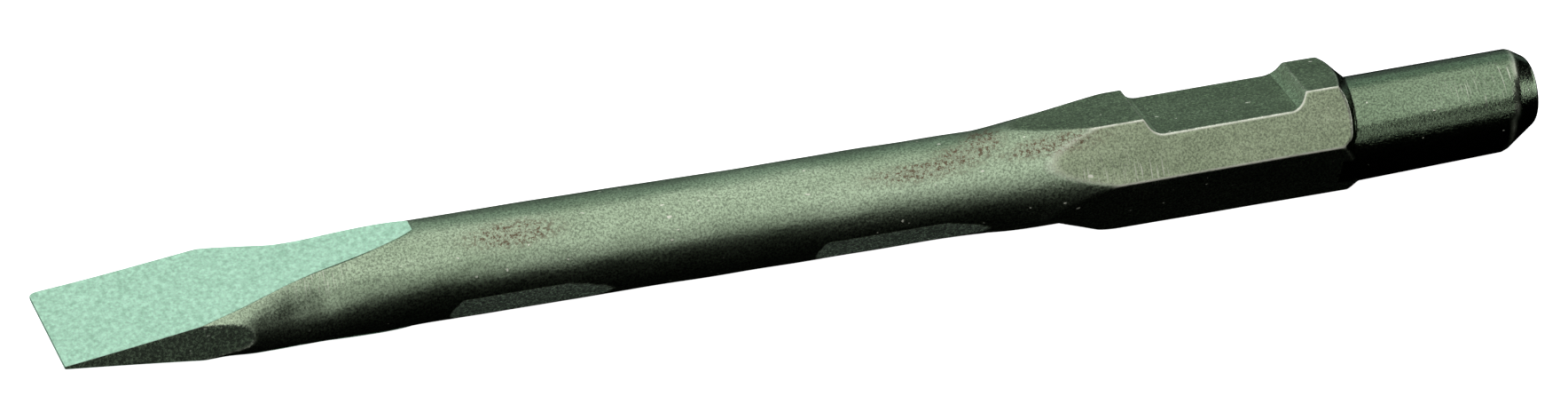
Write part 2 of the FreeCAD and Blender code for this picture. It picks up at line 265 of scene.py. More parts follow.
# ---------------------------------------------------------------- the forging as a field
def curve(x, stations, values):
    """Monotone cubic through the stations, level beyond both ends."""
    xs, ys = np.array(stations, float), np.array(values, float)
    step = np.diff(xs)
    rise = np.diff(ys) / step
    slope = np.zeros(len(xs))
    inner = (rise[:-1] * rise[1:]) > 0
    slope[1:-1][inner] = 2 / (1 / rise[:-1][inner] + 1 / rise[1:][inner])
    x = np.clip(x, xs[0], xs[-1])
    i = np.clip(np.searchsorted(xs, x) - 1, 0, len(xs) - 2)
    t = (x - xs[i]) / step[i]
    return (ys[i] * (1 + 2 * t) * (1 - t) ** 2 + ys[i + 1] * t * t * (3 - 2 * t)
            + step[i] * t * (1 - t) * (slope[i] * (1 - t) - slope[i + 1] * t))


def smooth(x, low, high):
    """Ease from 0 at low to 1 at high."""
    t = np.clip((x - low) / (high - low), 0, 1)
    return t * t * (3 - 2 * t)


class Worn:
    """The intersection of several shapes, with every edge between them worn round."""

    def __init__(self, distance, skin):
        self.value = distance
        self.edge = np.zeros_like(distance)
        self.skin = np.full(distance.shape, SKIN_NAMES.index(skin))

    def cut(self, distance, edge, skin="forged"):
        """Take away what lies outside, leaving one of the EDGES."""
        radius, glint = EDGES[edge]
        apart = np.abs(self.value - distance) / radius
        still_seen = np.clip(1 - (distance - self.value) / radius, 0, 1)
        # the edge band is real wear and also a painted glint
        self.edge = np.maximum(self.edge * still_seen, glint * np.clip(WEAR_AND_GLINT_REACH - apart, 0, 1))
        self.skin = np.where(distance > self.value, SKIN_NAMES.index(skin), self.skin)
        self.value = np.maximum(self.value, distance) + radius / 4 * np.clip(1 - apart, 0, 1) ** 2

    def join(self, distance, skin):
        """Add a shape, with a sharp inner corner."""
        self.edge = np.where(distance < self.value, 0.0, self.edge)
        self.skin = np.where(distance < self.value, SKIN_NAMES.index(skin), self.skin)
        self.value = np.minimum(self.value, distance)


def sloped(height, limit, slope):
    """Distance above a surface whose height is limit and whose slope (rise per mm) is given."""
    return (height - limit) / np.sqrt(1 + slope ** 2)


def shank_radius(at):
    """Radius of the cone in front of the hex and of the round shank."""
    cone = (CONE_RADIUS - SHANK_REAR_RADIUS) / (CONE_FRONT_AT - HEX_FRONT_AT)
    drop = cone * np.clip(at - HEX_FRONT_AT, 0, CONE_FRONT_AT - HEX_FRONT_AT)
    round_off = CONE_ROUNDING * cone * np.exp(-np.abs(at - CONE_FRONT_AT) / CONE_ROUNDING_REACH)
    share = smooth(at, CONE_FRONT_AT, LENGTH - SHANK_FRONT_FROM_EDGE)
    gain = (SHANK_FRONT_RADIUS - SHANK_REAR_RADIUS) * share
    return CONE_RADIUS - drop + gain + round_off * (at > HEX_FRONT_AT)


def notch_height(at):
    """Height and slope of the notch's floor, fillets and walls, the same at both ends."""
    steep = math.radians(NOTCH_WALL_ANGLE)
    reach = NOTCH_FILLET * math.sin(steep)
    tangent = NOTCH_DEPTH / math.tan(steep) + NOTCH_FILLET * math.tan(steep / 2)
    from_end = np.minimum(at - NOTCH_AT[0], NOTCH_AT[1] - at)
    along = np.clip(tangent - from_end, 0, reach)
    fillet = NOTCH_FILLET - np.sqrt(NOTCH_FILLET ** 2 - along ** 2)
    wall = np.clip(tangent - reach - from_end, 0, None) * math.tan(steep)
    slope = along / np.sqrt(NOTCH_FILLET ** 2 - along ** 2)
    return HEX_RADIUS - NOTCH_DEPTH + fillet + wall, slope


def hex_lean(at):
    """How far the hex and its cone stand off the shank's centre line."""
    return curve(at, *HEX_LEAN)


def swell(along, angle, shape):
    """Height of a swell at a place along X and an angle about it."""
    return curve(along, *shape[0]) * curve(angle, *shape[1])


def swells(at, angle):
    """The cone is fuller on the near upper side, the blade's root on the near lower and the far side."""
    from_edge = LENGTH - at
    near = swell(at, angle, CONE_SWELL) + swell(from_edge, angle, NEAR_ROOT_SWELL)
    return near + swell(from_edge, angle, FAR_ROOT_SWELL)


def tail_axis(at):
    """Y and Z of the tail's centre line, and its radius."""
    share = (at - TAIL_STATIONS[0]) / (TAIL_STATIONS[1] - TAIL_STATIONS[0])
    (rear_y, rear_z), (front_y, front_z) = TAIL_CENTRE
    radius = TAIL_RADIUS[0] + (TAIL_RADIUS[1] - TAIL_RADIUS[0]) * share
    return rear_y + (front_y - rear_y) * share, rear_z + (front_z - rear_z) * share, radius


def cut_hex_end(worn, at, y, z):
    """The chamfer behind the hex."""
    first = HEX_END_ANGLES[0]
    angle = (np.degrees(np.arctan2(z, y)) - first) % 360 + first
    steep = curve(angle, HEX_END_ANGLES, HEX_END_STEEPNESS)
    limit = HEX_END_RADIUS + steep * (at - curve(angle, HEX_END_ANGLES, HEX_END_PLACES))
    worn.cut(sloped(np.hypot(y, z), limit, steep), "hex_end", "tail")


def join_tail(worn, at, y, z):
    """The round tail and the cone at the striking face."""
    centre_y, centre_z, radius = tail_axis(np.minimum(at, HEX_END_AT))
    off_y, off_z = y - centre_y, z - centre_z
    worn.join(np.maximum(np.hypot(off_y, off_z) - radius, at - TAIL_ROOT_AT), "tail")
    out = np.hypot(off_y - END_SHIFT[0], off_z - END_SHIFT[1])
    worn.cut(sloped(out, END_RADIUS + END_SLOPE * at, END_SLOPE), "end_cone", "tail")


def blade_half_width(from_edge, corner=EDGE_CORNER[0]):
    """From the centre plane to a ground facet, with the rounded corner of the cutting edge."""
    width = EDGE_WIDTH / 2 - FACET_TAPER * from_edge
    in_corner = np.clip(corner - from_edge, 0, corner)
    return width - (corner - np.sqrt(corner ** 2 - in_corner ** 2))


def oval(from_edge):
    """Half width and half height of the round or oval section."""
    stations, widths, heights = zip(*OVALS)
    round_part = shank_radius(LENGTH - from_edge)
    wide = curve(from_edge, stations, [w / 2 for w in widths])
    high = curve(from_edge, stations, [h / 2 for h in heights])
    in_blade = from_edge < stations[-1]
    return np.where(in_blade, wide, round_part), np.where(in_blade, high, round_part)


def face_height(from_edge):
    """Height of the hollow-ground blade face."""
    reach = from_edge + FACE_HOLLOW * math.sin(EDGE_HALF_ANGLE)
    drop = np.sqrt(FACE_HOLLOW ** 2 - np.minimum(reach, FACE_HOLLOW / 2) ** 2)
    return EDGE_THICKNESS / 2 + FACE_HOLLOW * math.cos(EDGE_HALF_ANGLE) - drop


def waves(points, count, longest, shortest, seed):
    """Smooth noise between about -1 and 1, from plane waves in random directions."""
    rng = np.random.default_rng(seed)
    total = np.zeros(len(points))
    for _ in range(count):
        direction = rng.normal(size=3)
        direction /= np.linalg.norm(direction)
        length = shortest * (longest / shortest) ** rng.random()
        total += np.sin(points @ direction * (2 * math.pi / length) + rng.random() * 2 * math.pi)
    return total / math.sqrt(count)


def die_flat_height(at):
    """Height and slope of the two shallow flats on the shank."""
    height = np.full_like(at, FAR_OFF)
    slope = np.zeros_like(at)
    long_run, steep_run = DIE_FLAT_RUNS
    for rear, front in DIE_FLATS_AT:
        rear_rise = DIE_FLAT_DEPTH / long_run * np.clip(rear + long_run - at, 0, None)
        front_rise = DIE_FLAT_DEPTH / steep_run * np.clip(at - front + steep_run, 0, None)
        beyond = np.clip(rear - at, 0, None) + np.clip(at - front, 0, None)
        limit = SHANK_FRONT_RADIUS - DIE_FLAT_DEPTH + rear_rise + front_rise + beyond
        nearer = limit < height
        grade = np.where(rear_rise > 0, DIE_FLAT_DEPTH / long_run, 0.0)
        grade = np.where(front_rise > 0, DIE_FLAT_DEPTH / steep_run, grade)
        height, slope = np.where(nearer, limit, height), np.where(nearer, grade, slope)
    return height, slope


def towards(points, angle):
    """How far points lie out in the direction at an angle about X."""
    turn = math.radians(angle)
    return points[:, 1] * math.cos(turn) + points[:, 2] * math.sin(turn)


def cut_hex(worn, points, rear_half):
    """The six flats and the notch in the upper one."""
    for angle, radius in HEX_FLATS.items():
        # the upper flat's skin carries painted shade
        skin = {90: "top_flat_painted_shade", NEAR_FLAT: "near_flat"}.get(angle, "forged")
        worn.cut(towards(points, angle) - radius + rear_half, "hex", skin)
    limit, slope = notch_height(-points[:, 0])
    notch = sloped(points[:, 2], limit, slope) + rear_half
    on_floor = slope < NOTCH_FLOOR_SLOPE
    # the notch's floor shares the top flat's painted shade; its walls do not
    worn.cut(np.where(on_floor, notch, -FAR_OFF), "notch", "top_flat_painted_shade")
    worn.cut(np.where(on_floor, -FAR_OFF, notch), "notch", "notch_wall")


def cut_round(worn, points):
    """The cone, the round shank and the ovals towards the blade, with the undercut below the cone."""
    at, y, z = -points[:, 0], points[:, 1], points[:, 2]
    wide, high = oval(LENGTH - at)
    level = np.sqrt((y / wide) ** 2 + (z / high) ** 2) + 1e-9
    grade = np.sqrt((y / wide ** 2) ** 2 + (z / high ** 2) ** 2) / level + 1e-9
    worn.cut((level - 1) / grade - swells(at, np.degrees(np.arctan2(z, y)) % 360), "round")
    limit = SHANK_REAR_RADIUS + UNDERCUT_RISE * np.clip(UNDERCUT_FRONT_AT - at, 0, None)
    limit = limit + UNDERCUT_EXIT * np.clip(at - CONE_FRONT_AT, 0, None)
    slope = np.where(at < UNDERCUT_FRONT_AT, UNDERCUT_RISE, 0.0)
    worn.cut(sloped(towards(points, UNDERCUT_ANGLE), limit, slope), "undercut")


def cut_facets(worn, from_edge, y):
    """The narrow ground facets on the blade's two flanks."""
    front_half = np.where(from_edge < FACETS_END_FROM_EDGE, 0.0, -FAR_OFF)
    near, far = (blade_half_width(from_edge, corner) for corner in EDGE_CORNER)
    half = np.where(y > 0, far + FAR_FACET_GAIN * smooth(from_edge, *FAR_FACET_GAIN_FROM_EDGE), near)
    # the facets' skin is darkened by painted shade
    worn.cut(sloped(np.abs(y), half, FACET_TAPER) + front_half, "facet", "ground")


def forging(points, with_faces=True):
    """The field of the forging: its value is negative inside."""
    at = -points[:, 0]
    from_edge = LENGTH - at
    worn = Worn(-points[:, 2] - HEX_FLATS[270], "forged")
    true_y, true_z = points[:, 1], points[:, 2]
    lean = math.radians(HEX_LEAN_ANGLE)
    points = points - hex_lean(at)[:, None] * np.array([0.0, math.cos(lean), math.sin(lean)])
    y, z = points[:, 1], points[:, 2]
    cut_hex(worn, points, np.where(at < HEX_SHAPES_END_AT, 0.0, -FAR_OFF))
    cut_hex_end(worn, at, true_y, true_z)
    cut_round(worn, points)
    join_tail(worn, at, true_y, true_z)
    limit, slope = die_flat_height(at)
    worn.cut(sloped(towards(points, DIE_FLAT_ANGLE), limit, slope), "die_flat", "die_flat")
    cut_facets(worn, from_edge, y)
    if with_faces:
        for side in (1, -1):
            worn.cut(sloped(side * z, face_height(from_edge), math.tan(EDGE_HALF_ANGLE)), "face")
    # the painted glint on worn edges stays whole only along the near flat's outline, where the light catches
    # them
    off_near_flat = np.abs(towards(points, NEAR_FLAT) - HEX_FLATS[NEAR_FLAT])
    full, none = NEAR_FLAT_WEAR_AND_GLINT
    wear_and_glint_elsewhere = np.where(at < TAIL_END_AT, TAIL_END_WEAR_AND_GLINT_SHARE, WEAR_AND_GLINT_SHARE)
    worn.edge = worn.edge * np.maximum(np.clip((none - off_near_flat) / (none - full), 0, 1), wear_and_glint_elsewhere)
    return worn


def forged_lumps(points):
    """Height of the forged skin's unevenness, less on the machined tail."""
    at = -points[:, 0]
    forged = smooth(at, *LUMPS_START_AT) * smooth(LENGTH - at, *LUMPS_END_FROM_EDGE)
    return (LUMP_HEIGHT + MORE_LUMP_HEIGHT * forged) * waves(points * LUMP_STRETCH, **LUMP_NOISE)


def reach_of(shape, count):
    """How far the shape goes on being there from the centre outwards, found by halving."""
    low, high = np.zeros(count), np.full(count, SEARCH_RADIUS)
    for _ in range(HALVINGS):
        middle = (low + high) / 2
        inside = shape(middle) < 0
        low, high = np.where(inside, middle, low), np.where(inside, high, middle)
    return (low + high) / 2


def surface_radius(at, angle):
    """Distance from the X axis to the surface."""
    cos, sin = np.cos(angle), np.sin(angle)

    def steel(out):
        return forging(np.stack([-at, out * cos, out * sin], 1)).value

    return reach_of(steel, len(at))


# ---------------------------------------------------------------- meshes
def ring_places():
    """Distances of the rings from the striking face."""
    ends = [start for start, _ in RING_STEPS[1:]] + [RING_STEPS_END_AT]
    places = [np.arange(low, high - step / 3, step) for (low, step), high in zip(RING_STEPS, ends)]
    return np.concatenate(places + [LENGTH - np.array(LAST_RINGS_FROM_EDGE)])


def hex_corners(at):
    """Angles of the hex's corners in each ring. The upper two follow the notch's floor."""
    lean = hex_lean(at)
    lean_y = lean * math.cos(math.radians(HEX_LEAN_ANGLE))
    lean_z = lean * math.sin(math.radians(HEX_LEAN_ANGLE))
    floor = np.minimum(notch_height(at)[0], HEX_RADIUS)
    sin, cos = math.sin(math.radians(30)), math.cos(math.radians(30))
    near, far = HEX_FLATS[NEAR_FLAT], HEX_FLATS[30]
    places = (
        ((far + HEX_RADIUS) / 2 / cos, far - HEX_RADIUS + 0 * at),
        ((far - floor * sin) / cos, floor),
        (-(near - floor * sin) / cos, floor),
        (-(near + HEX_RADIUS) / 2 / cos, near - HEX_RADIUS),
        (-HEX_RADIUS * sin / cos, -HEX_RADIUS),
        (HEX_RADIUS * sin / cos, -HEX_RADIUS),
    )
    angles = [np.degrees(np.arctan2(z + lean_z, y + lean_y)) % 360 for y, z in places]
    angles[0] = (angles[0] + 180) % 360 - 180
    return angles


def blade_corners(at):
    """Angles of the middles of both flanks and of the blade's four corners in each ring."""
    from_edge = LENGTH - at
    wide, high = oval(from_edge)
    face = np.minimum(face_height(from_edge), high * JUST_INSIDE)
    facet = blade_half_width(np.minimum(from_edge, BLADE_CORNERS_FROM_EDGE))
    half = np.minimum(facet, wide * np.sqrt(1 - (face / high) ** 2))
    blade = np.minimum(np.degrees(np.arctan2(face, half)), STEEPEST_BLADE_CORNER)
    return [0 * at, blade, 180 - blade, 180 + 0 * at, 180 + blade, 360 - blade]


def corner_angles(at):
    """Angles at each ring of the six rows of points that follow the section's corners."""
    share = smooth(at, *CORNERS_CHANGE_AT)
    rows = [a + (b - a) * share for a, b in zip(hex_corners(at), blade_corners(at))]
    return np.stack(rows + [rows[0] + 360], 1)


def ring_angles(at):
    """The angles in radians of one row of points per ring, closest together at the corners."""
    corners = corner_angles(at)
    on_hex = smooth(at, *CROWDED_HEX[0]) * (1 - smooth(at, *CROWDED_HEX[1]))
    crowding = CROWDING * np.maximum(on_hex, smooth(at, *CROWDED_BLADE))
    each = RING_POINTS // 6
    rows = []
    for corner in range(6):
        share = np.arange(each) / each
        share = share[None, :] - crowding[:, None] * np.sin(2 * math.pi * share)[None, :] / (2 * math.pi)
        low, high = corners[:, corner, None], corners[:, corner + 1, None]
        rows.append(low + (high - low) * share)
    return np.radians(np.concatenate(rows, 1))


def skewed(points):
    """The cutting edge is not quite square: its near corner is ground further back."""
    share = 1 - smooth(LENGTH + points[:, 0], 0, EDGE_SKEW_REACH)
    pulled = points.copy()
    pulled[:, 0] += (EDGE_WIDTH / 2 - points[:, 1]) * EDGE_SKEW * share
    return pulled


def new_piece(name, points, faces):
    """A smooth-shaded mesh in the scene, in metres, from points in millimetres."""
    points = skewed(points)
    mesh = bpy.data.meshes.new(name)
    mesh.from_pydata([tuple(p) for p in points * MM], [], faces)
    mesh.update()
    mesh.polygons.foreach_set("use_smooth", [True] * len(mesh.polygons))
    obj = bpy.data.objects.new(name, mesh)
    bpy.context.scene.collection.objects.link(obj)
    return obj


def tube_faces(rings):
    """Quads between neighbouring rings of points."""
    faces = []
    for start in range(0, (rings - 1) * RING_POINTS, RING_POINTS):
        for i in range(RING_POINTS):
            j = (i + 1) % RING_POINTS
            faces.append((start + i, start + j, start + RING_POINTS + j, start + RING_POINTS + i))
    return faces


def set_attribute(obj, name, values):
    layer = obj.data.attributes.new(name, "FLOAT", "POINT")
    layer.data.foreach_set("value", np.asarray(values, np.float32))


def spread(points, spots):
    """How deep each point is in soft-edged spots on the skin, from 0 to 1."""
    angle = np.degrees(np.arctan2(points[:, 2], points[:, 1])) % 360
    amount = np.zeros(len(points))
    for at, middle, long, wide in spots:
        far = ((-points[:, 0] - at) / long) ** 2 + ((angle - middle) / wide) ** 2
        amount = np.maximum(amount, np.exp(-far))
    return amount


def drop_slivers(obj):
    """Merge the points that fall together at the corners of the cutting edge."""
    mesh = bmesh.new()
    mesh.from_mesh(obj.data)
    bmesh.ops.dissolve_degenerate(mesh, dist=SLIVER * MM, edges=mesh.edges)
    mesh.to_mesh(obj.data)
    mesh.free()


def forging_rings(at):
    """The points of all rings from the striking face to the cutting edge, and the worn shape there."""
    angle = ring_angles(at).ravel()
    at = np.repeat(at, RING_POINTS)
    radius = surface_radius(np.clip(at, HAIR, LENGTH - HAIR), angle)
    # the striking face's rounded rim
    into = np.clip(FACE_ROUNDING - at, 0, FACE_ROUNDING)
    radius -= FACE_ROUNDING - np.sqrt(FACE_ROUNDING ** 2 - into ** 2)
    points = np.stack([-at, radius * np.cos(angle), radius * np.sin(angle)], 1)
    worn = forging(points)
    ends = smooth(at, 0, LUMP_FREE_ENDS) * smooth(LENGTH - at, 0, LUMP_FREE_ENDS)
    lumps = forged_lumps(points) * ends
    points[:, 1] += lumps * np.cos(angle)
    points[:, 2] += lumps * np.sin(angle)
    return points, worn


def close_face(points, faces):
    """Add rings that shrink to the middle of the striking face. Returns all the points."""
    rim = points[:RING_POINTS]
    middle = rim.mean(0)
    rings = [middle + (rim - middle) * share for share in FACE_RINGS]
    starts = [0] + [len(points) + i * RING_POINTS for i in range(len(rings))]
    points = np.concatenate([points, *rings, middle[None, :]])
    for outer, inner in zip(starts, starts[1:]):
        for i in range(RING_POINTS):
            j = (i + 1) % RING_POINTS
            faces.append((outer + j, outer + i, inner + i, inner + j))
    for i in range(RING_POINTS):
        faces.append((starts[-1] + (i + 1) % RING_POINTS, starts[-1] + i, len(points) - 1))
    return points


def close_edge(faces, last):
    """Close the blunt cutting edge: the upper half of the last ring is joined to the lower half."""
    for i in range(RING_POINTS // 2):
        upper, lower = last + i, last + (RING_POINTS - i) % RING_POINTS
        corner = [upper, lower, last + RING_POINTS - i - 1, upper + 1]
        faces.append(tuple(dict.fromkeys(corner))[::-1])


def set_steel_attributes(obj, points, worn):
    """What the steel's material reads. The points of the striking face follow the worn ones."""
    spare = len(points) - len(worn.skin)
    skin = np.concatenate([worn.skin, np.full(spare, SKIN_NAMES.index("tail"))])
    # worn edges: real wear plus a painted glint
    set_attribute(obj, "edge_wear_and_glint", np.concatenate([worn.edge, np.zeros(spare)]))
    set_attribute(obj, "stain", spread(points, STAINS))
    set_attribute(obj, "scored", spread(points, SCORES))
    tints, dulls, roughs = (np.array(column) for column in zip(*SKINS.values()))
    set_attribute(obj, "dullness", dulls[skin])
    set_attribute(obj, "roughness", roughs[skin])
    for channel, name in enumerate(("tint_red", "tint_green", "tint_blue")):
        set_attribute(obj, name, tints[skin, channel])


def build_forging():
    at = ring_places()
    points, worn = forging_rings(at)
    faces = tube_faces(len(at))
    last = len(points) - RING_POINTS
    points = close_face(points, faces)
    close_edge(faces, last)
    obj = new_piece("forging", points, faces)
    set_steel_attributes(obj, points, worn)
    drop_slivers(obj)
    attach(obj, "root")
    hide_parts("chisel_forging")
    return obj


def coat_reach(from_edge, side, across):
    """How far a blade face reaches from the centre plane, towards +Y or -Y (across is 1 or -1)."""
    x, z = from_edge - LENGTH, side * (face_height(from_edge) - COAT_PROBE_DEPTH)

    def steel(out):
        return forging(np.stack([x, across * out, z], 1), with_faces=False).value

    return reach_of(steel, len(x))


def coat_row(from_edge, low, high, side):
    """Upper and lower points of the film across the blade from low to high, with rounded rims."""
    turn = (np.arange(COAT_COLUMNS + 1) / COAT_COLUMNS - 0.5) * math.pi
    y = low + (np.sin(turn) * 0.5 + turn / math.pi + 1) / 2 * (high - low)
    rim = max(min(COAT, (high - low) / 2), HAIR)
    inward = np.clip((rim - np.minimum(y - low, high - y)) / rim, 0, 1)
    in_front = np.clip((COAT_EDGE_ROUNDING - from_edge) / COAT_EDGE_ROUNDING, 0, 1)
    thick = COAT * np.sqrt(1 - inward ** 2) * (0.5 + 0.5 * math.sqrt(1 - in_front ** 2))
    base = face_height(from_edge)
    foot = base - COAT_SINK if from_edge > 0 else COAT_LAP
    x = from_edge - LENGTH
    return [(x, yy, side * (base + t)) for yy, t in zip(y, thick)], [(x, yy, side * foot) for yy in y]


def slab_faces(rows, cols):
    """Faces of a closed slab: its upper grid of points first, then its lower one."""
    under, across = rows * cols, cols - 1
    faces = []
    for r in range(rows - 1):
        for c in range(across):
            a = r * cols + c
            faces.append((a, a + cols, a + cols + 1, a + 1))
            faces.append((under + a, under + a + 1, under + a + cols + 1, under + a + cols))
    for r in range(rows - 1):
        left, right = r * cols, r * cols + across
        faces.append((left, under + left, under + left + cols, left + cols))
        faces.append((right, right + cols, under + right + cols, under + right))
    for c in range(across):
        first, last = c, (rows - 1) * cols + c
        faces.append((first, first + 1, under + first + 1, under + first))
        faces.append((last, under + last, under + last + 1, last + 1))
    return faces


def build_coat(name, node, side):
    """A thin film with a rounded rim on one blade face, lapped over the cutting edge. side is 1 above."""
    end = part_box(node)[1].x / MM + LENGTH - COAT_SHORTFALL
    even = np.arange(COAT_STEP, end - COAT_LAST_LENGTH, COAT_STEP)
    gathered = end - COAT_LAST_GAP * COAT_LAST_RATIO ** np.arange(1, COAT_LAST_ROWS + 1)
    stations = np.concatenate([COAT_FIRST_ROWS, even, gathered])
    inside = np.maximum(stations, COAT_PROBE_FROM_EDGE)
    near, far = -coat_reach(inside, side, -1), coat_reach(inside, side, 1)
    top, bottom = [], []
    for from_edge, low, high in zip(stations, near, far):
        upper, lower = coat_row(from_edge, low, high, side)
        top.extend(upper)
        bottom.extend(lower)
    faces = slab_faces(len(stations), COAT_COLUMNS + 1)
    if side > 0:
        faces = [face[::-1] for face in faces]
    obj = new_piece(name, np.array(top + bottom), faces)
    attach(obj, "root")
    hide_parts(node)
    return obj


forging_piece = build_forging()
coats = [
    build_coat("lacquer_top", "blade_coat_top", 1),
    build_coat("lacquer_bottom", "blade_coat_bottom", -1),
]


# ---------------------------------------------------------------- materials
class Nodes:
    """A short way to write a node tree: each call from scaled on adds a node and returns its output."""

    def __init__(self, name):
        self.material = bpy.data.materials.new(name)
        self.material.use_nodes = True
        self.tree = self.material.node_tree
        self.shader = self.tree.nodes["Principled BSDF"]
        self.place = self.tree.nodes.new("ShaderNodeTexCoord").outputs["Object"]

    def put(self, socket, value):
        if isinstance(value, bpy.types.NodeSocket):
            self.tree.links.new(value, socket)
        elif isinstance(value, (tuple, list)) and len(value) == 3 and socket.type == "RGBA":
            socket.default_value = (*value, 1)
        else:
            socket.default_value = value

    def set(self, **values):
        for name, value in values.items():
            self.put(self.shader.inputs[name.replace("_", " ")], value)

    def scaled(self, scale, move=(0, 0, 0)):
        node = self.tree.nodes.new("ShaderNodeMapping")
        self.put(node.inputs["Vector"], self.place)
        node.inputs["Scale"].default_value = scale if isinstance(scale, tuple) else (scale,) * 3
        node.inputs["Location"].default_value = move
        return node.outputs["Vector"]

    def noise(self, scale, detail=4.0, rough=0.55, stretch=(1, 1, 1), move=(0, 0, 0)):
        node = self.tree.nodes.new("ShaderNodeTexNoise")
        self.put(node.inputs["Vector"], self.scaled(stretch, move))
        node.inputs["Scale"].default_value = scale
        node.inputs["Detail"].default_value = detail
        node.inputs["Roughness"].default_value = rough
        return node.outputs["Fac"]

    def ramp(self, value, low, high, to_low=0.0, to_high=1.0):
        node = self.tree.nodes.new("ShaderNodeMapRange")
        self.put(node.inputs["Value"], value)
        names = ("From Min", "From Max", "To Min", "To Max")
        for name, number in zip(names, (low, high, to_low, to_high)):
            node.inputs[name].default_value = number
        return node.outputs["Result"]


    def math(self, kind, a, b=0.0):
        node = self.tree.nodes.new("ShaderNodeMath")
        node.operation = kind
        self.put(node.inputs[0], a)
        self.put(node.inputs[1], b)
        return node.outputs[0]

    def mix(self, share, a, b, kind="MIX"):
        node = self.tree.nodes.new("ShaderNodeMix")
        node.data_type = "RGBA"
        node.blend_type = kind
        colours = [socket for socket in node.inputs if socket.type == "RGBA"]
        self.put(node.inputs[0], share)
        self.put(colours[0], a)
        self.put(colours[1], b)
        return next(socket for socket in node.outputs if socket.type == "RGBA")

    def colour_of(self, red, green, blue):
        node = self.tree.nodes.new("ShaderNodeCombineColor")
        for socket, value in zip(node.inputs, (red, green, blue)):
            self.put(socket, value)
        return node.outputs[0]

    def grey(self, value):
        return self.colour_of(value, value, value)

    def attribute(self, name):
        node = self.tree.nodes.new("ShaderNodeAttribute")
        node.attribute_name = name
        return node.outputs["Fac"]

    def bump(self, height, distance, strength=1.0, under=None):
        node = self.tree.nodes.new("ShaderNodeBump")
        self.put(node.inputs["Height"], height)
        node.inputs["Distance"].default_value = distance
        node.inputs["Strength"].default_value = strength
        if under is not None:
            self.put(node.inputs["Normal"], under)
        return node.outputs["Normal"]


def steel_base(n, grain):
    """The cloudy colour of the forged skin, tinted by the skins and speckled by a fine grain."""
    cloud = n.noise(75, detail=5, rough=0.62, stretch=(0.35, 1, 1))
    colour = n.mix(n.ramp(cloud, 0.32, 0.70), *STEEL_COLOURS)
    tint = n.colour_of(n.attribute("tint_red"), n.attribute("tint_green"), n.attribute("tint_blue"))
    colour = n.mix(1.0, colour, tint, "MULTIPLY")
    return n.mix(1.0, colour, n.grey(n.ramp(grain, 0.36, 0.64, 0.55, 1.45)), "MULTIPLY")


def rusted(n, colour):
    """The colour with rust where the skin is stained, and how much rust there is."""
    stain = n.attribute("stain")
    grains = n.ramp(n.noise(1000, detail=4, rough=0.85), 0.51, 0.56)
    rust = n.math("MULTIPLY", n.ramp(stain, 0.1, 0.6), grains)
    colour = n.mix(n.math("MULTIPLY", stain, 0.3), colour, STAIN_COLOUR)
    return n.mix(rust, colour, RUST_COLOUR), rust


def bared_and_glinting(n, dull):
    """Where bright steel shows: small chips, scratches where the skin is scored, and broken-up worn edges,
    whose brightness is partly real wear and partly a painted glint.
    """
    chips = n.ramp(n.noise(760, detail=1, rough=0.5, stretch=(0.6, 1, 1), move=(0.3, 0.1, 0.2)), 0.765, 0.79)
    chips = n.math("MULTIPLY", chips, n.math("SUBTRACT", 1.0, dull))
    lines = n.ramp(n.noise(2600, detail=1, rough=0.5, stretch=(1, 0.07, 0.05)), 0.58, 0.66)
    scratches = n.math("MULTIPLY", n.attribute("scored"), lines)
    broken_up = n.ramp(n.noise(300, detail=3), 0.30, 0.50, 0.45, 1.0)
    # worn edges: real wear and a painted glint
    worn = n.math("MULTIPLY", n.attribute("edge_wear_and_glint"), broken_up)
    return n.math("MAXIMUM", n.math("MAXIMUM", chips, n.math("MULTIPLY", scratches, 0.55)), worn)


def steel_material():
    n = Nodes("forged_steel")
    grain = n.noise(1900, detail=2, rough=0.75)
    dull = n.attribute("dullness")
    colour, rust = rusted(n, steel_base(n, grain))
    bright = bared_and_glinting(n, dull)
    # bare steel on chips and scratches, and on worn edges a painted glint as well
    colour = n.mix(bright, colour, WORN_AND_GLINT_COLOUR)
    # matt speckle on the ground facets and the die flats
    speckle = n.math("MULTIPLY", dull, n.ramp(n.noise(1300, detail=3, rough=0.9), 0.47, 0.63))
    colour = n.mix(1.0, colour, n.grey(n.ramp(speckle, 0, 1, 0.8, 4.2)), "MULTIPLY")
    # worn edges are made partly matt so the top light makes their painted glint glow
    matt = n.math("MAXIMUM", n.math("MULTIPLY", dull, 0.75), n.math("MULTIPLY", bright, 0.65))
    matt = n.math("MAXIMUM", matt, n.math("MULTIPLY", rust, 0.6))
    rough = n.math("ADD", n.attribute("roughness"), n.ramp(grain, 0.3, 0.7, -0.05, 0.07))
    pits = n.noise(170, detail=4, rough=0.6, stretch=(0.6, 1, 1))
    normal = n.bump(grain, 0.00007, strength=0.8, under=n.bump(pits, 0.00022, strength=0.7))
    n.set(Base_Color=colour, Metallic=n.math("SUBTRACT", 1.0, matt), Roughness=rough, Normal=normal)
    return n.material


def lacquer_material():
    n = Nodes("pale_green_lacquer")
    blotch = n.noise(800, detail=2, rough=0.6, stretch=(1, 0.6, 1))
    speck = n.noise(1500, detail=2, rough=0.7, stretch=(1, 0.6, 1))
    colour = n.mix(n.ramp(blotch, 0.32, 0.68), *LACQUER_COLOURS)
    colour = n.mix(1.0, colour, n.grey(n.ramp(speck, 0.3, 0.7, 0.88, 1.10)), "MULTIPLY")
    n.set(Base_Color=colour, Roughness=0.75, Normal=n.bump(blotch, 0.00004, strength=0.4))
    return n.material


def floor_material():
    n = Nodes("pale_floor")
    shade = n.ramp(n.noise(3, detail=2), 0.3, 0.7, 0.78, 0.8)
    n.set(Base_Color=n.mix(shade, *FLOOR_COLOURS), Roughness=0.9, Emission_Color=WHITE, Emission_Strength=1.0)
    return n.material


def put_material(obj, material):
    obj.data.materials.clear()
    obj.data.materials.append(material)


put_material(forging_piece, steel_material())
lacquer = lacquer_material()
for coat in coats:
    put_material(coat, lacquer)


